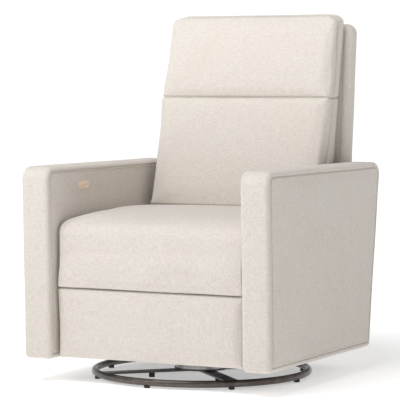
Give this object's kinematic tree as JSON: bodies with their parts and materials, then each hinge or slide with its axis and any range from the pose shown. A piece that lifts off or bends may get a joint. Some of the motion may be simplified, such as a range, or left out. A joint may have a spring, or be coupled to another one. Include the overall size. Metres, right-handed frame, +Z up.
{
  "type": "glider recliner chair",
  "caption": "Upholstered swivel glider recliner with footrest linkage, reclining back, tilting head cushion and round floor ring.",
  "frame": {"origin": "on the floor at the centre of the chair's outline", "axes": "+Z up, the sitter faces -Y, +X towards the chair's left arm"},
  "size_m": [0.76, 0.8223, 1.034],
  "materials": {
    "linen_fabric": "oatmeal woven upholstery",
    "bronze_metal": "dark bronze powder coat",
    "black_steel": "black powder coat",
    "plain_steel": "zinc plated",
    "timber": "bare plywood and pine",
    "nylon": "black nylon",
    "glide_plastic": "black plastic glide",
    "rose_metal": "rose gold anodised",
    "brass": "plain"
  },
  "bodies": {
    "base": {"base_ring": "bronze_metal", "base_crossbars": "bronze_metal", "floor_glides": "glide_plastic", "hub_plate": "bronze_metal", "bearing_lower_race": "plain_steel", "king_pin": "plain_steel", "king_nut": "plain_steel"},
    "ball_cage": {"bearing_cage": "brass", "bearing_balls": "plain_steel"},
    "swivel": {"bearing_upper_race": "plain_steel", "swivel_plate": "black_steel", "hanger_brackets": "black_steel", "hanger_bolts": "plain_steel", "glide_pivot_bolts": "plain_steel"},
    "glide_front": {"front_glide_links": "plain_steel", "front_link_bushes": "nylon"},
    "glide_rear": {"rear_glide_links": "plain_steel", "rear_link_bushes": "nylon"},
    "chassis": {"glide_rails": "black_steel", "rail_pins": "plain_steel", "chassis_cross_tubes": "black_steel", "chassis_outriggers": "black_steel", "side_plates": "black_steel", "seat_cross_rails": "black_steel", "seat_board": "timber", "seat_cushion": "linen_fabric", "arm_frames": "timber", "left_arm_cover": "linen_fabric", "right_arm_cover": "linen_fabric", "arm_spacers": "plain_steel", "lower_back_panel": "linen_fabric", "power_inlet": "nylon", "control_plate": "rose_metal", "footrest_actuator": "black_steel", "recline_actuator": "black_steel"},
    "foot_lower": {"footrest_lower_links": "plain_steel", "lower_link_pins": "brass"},
    "foot_upper": {"footrest_upper_links": "plain_steel", "upper_link_pins": "brass"},
    "foot_guide": {"footrest_torque_tube": "plain_steel", "footrest_guide_links": "plain_steel"},
    "foot_tilt": {"footrest_tilt_links": "plain_steel"},
    "footrest": {"footrest_brackets": "plain_steel", "footrest_board": "timber", "footrest_pad": "linen_fabric"},
    "foot_block": {"footrest_drive_block": "plain_steel"},
    "back": {"back_torque_tube": "plain_steel", "back_frame": "plain_steel", "back_rails": "timber", "back_board": "timber", "back_cushion": "linen_fabric", "rear_panel": "linen_fabric", "back_hinge_leaves": "plain_steel"},
    "back_block": {"recline_drive_block": "plain_steel"},
    "head": {"head_hinge_leaves": "plain_steel", "head_board": "timber", "head_cushion": "linen_fabric"},
    "button_open": {"button_open": "rose_metal"},
    "button_close": {"button_close": "rose_metal"}
  },
  "joints": [
    {"name": "swivel", "type": "hinge", "parent": "base", "child": "swivel", "pos_m": [0, -0.047, 0.04], "axis": [0, 0, 1], "continuous": true},
    {"name": "cage_spin", "type": "hinge", "parent": "base", "child": "ball_cage", "pos_m": [0, -0.047, 0.032], "axis": [0, 0, 1], "continuous": true},
    {"name": "glide", "type": "hinge", "parent": "swivel", "child": "glide_front", "pos_m": [0, -0.137, 0.205], "axis": [-1, 0, 0], "range_deg": [-20, 20]},
    {"name": "glide_rear_swing", "type": "hinge", "parent": "swivel", "child": "glide_rear", "pos_m": [0, 0.043, 0.205], "axis": [-1, 0, 0], "range_deg": [-20.5, 20.5]},
    {"name": "chassis_level", "type": "hinge", "parent": "glide_front", "child": "chassis", "pos_m": [0, -0.137, 0.085], "axis": [-1, 0, 0], "range_deg": [-20.5, 20.5]},
    {"name": "footrest_open", "type": "hinge", "parent": "chassis", "child": "foot_lower", "pos_m": [0, -0.255, 0.226], "axis": [-1, 0, 0], "range_deg": [0, 102.4]},
    {"name": "footrest_upper_unfold", "type": "hinge", "parent": "foot_lower", "child": "foot_upper", "pos_m": [0, -0.225, 0.09], "axis": [-1, 0, 0], "range_deg": [-126.5, 0]},
    {"name": "footrest_board_turn", "type": "hinge", "parent": "foot_upper", "child": "footrest", "pos_m": [0, -0.288, 0.215], "axis": [-1, 0, 0], "range_deg": [0, 114]},
    {"name": "footrest_guide_swing", "type": "hinge", "parent": "chassis", "child": "foot_guide", "pos_m": [0, -0.215, 0.219], "axis": [-1, 0, 0], "range_deg": [0, 99.2]},
    {"name": "footrest_tilt_unfold", "type": "hinge", "parent": "foot_lower", "child": "foot_tilt", "pos_m": [0, -0.236, 0.119], "axis": [-1, 0, 0], "range_deg": [-126, 0]},
    {"name": "footrest_block_travel", "type": "slide", "parent": "chassis", "child": "foot_block", "axis": [0, -1, 0], "range_m": [0, 0.0615]},
    {"name": "recline", "type": "hinge", "parent": "chassis", "child": "back", "pos_m": [0, 0.245, 0.215], "axis": [-1, 0, 0], "range_deg": [0, 28]},
    {"name": "recline_block_travel", "type": "slide", "parent": "chassis", "child": "back_block", "axis": [0, -1, 0], "range_m": [0, 0.0395]},
    {"name": "head_tilt", "type": "hinge", "parent": "back", "child": "head", "pos_m": [0, 0.234, 0.79], "axis": [1, 0, 0], "range_deg": [0, 30]},
    {"name": "button_open_press", "type": "slide", "parent": "chassis", "child": "button_open", "axis": [-1, 0, 0], "range_m": [0, 0.0015], "stiffness_N_per_m": 400},
    {"name": "button_close_press", "type": "slide", "parent": "chassis", "child": "button_close", "axis": [-1, 0, 0], "range_m": [0, 0.0015], "stiffness_N_per_m": 400}
  ],
  "couplings": [
    {"joint": "cage_spin", "follows": "swivel", "ratio": 0.5},
    {"joint": "glide_rear_swing", "follows": "glide", "ratio": 1},
    {"joint": "chassis_level", "follows": "glide", "ratio": -1},
    {"joint": "footrest_upper_unfold", "follows": "footrest_open", "ratio": -1.2275},
    {"joint": "footrest_board_turn", "follows": "footrest_open", "ratio": 1.1064},
    {"joint": "footrest_guide_swing", "follows": "footrest_open", "ratio": 0.9629},
    {"joint": "footrest_tilt_unfold", "follows": "footrest_open", "ratio": -1.2217},
    {"joint": "footrest_block_travel", "follows": "footrest_open", "m_per_rad": 0.03396},
    {"joint": "recline_block_travel", "follows": "recline", "m_per_rad": 0.0792}
  ]
}
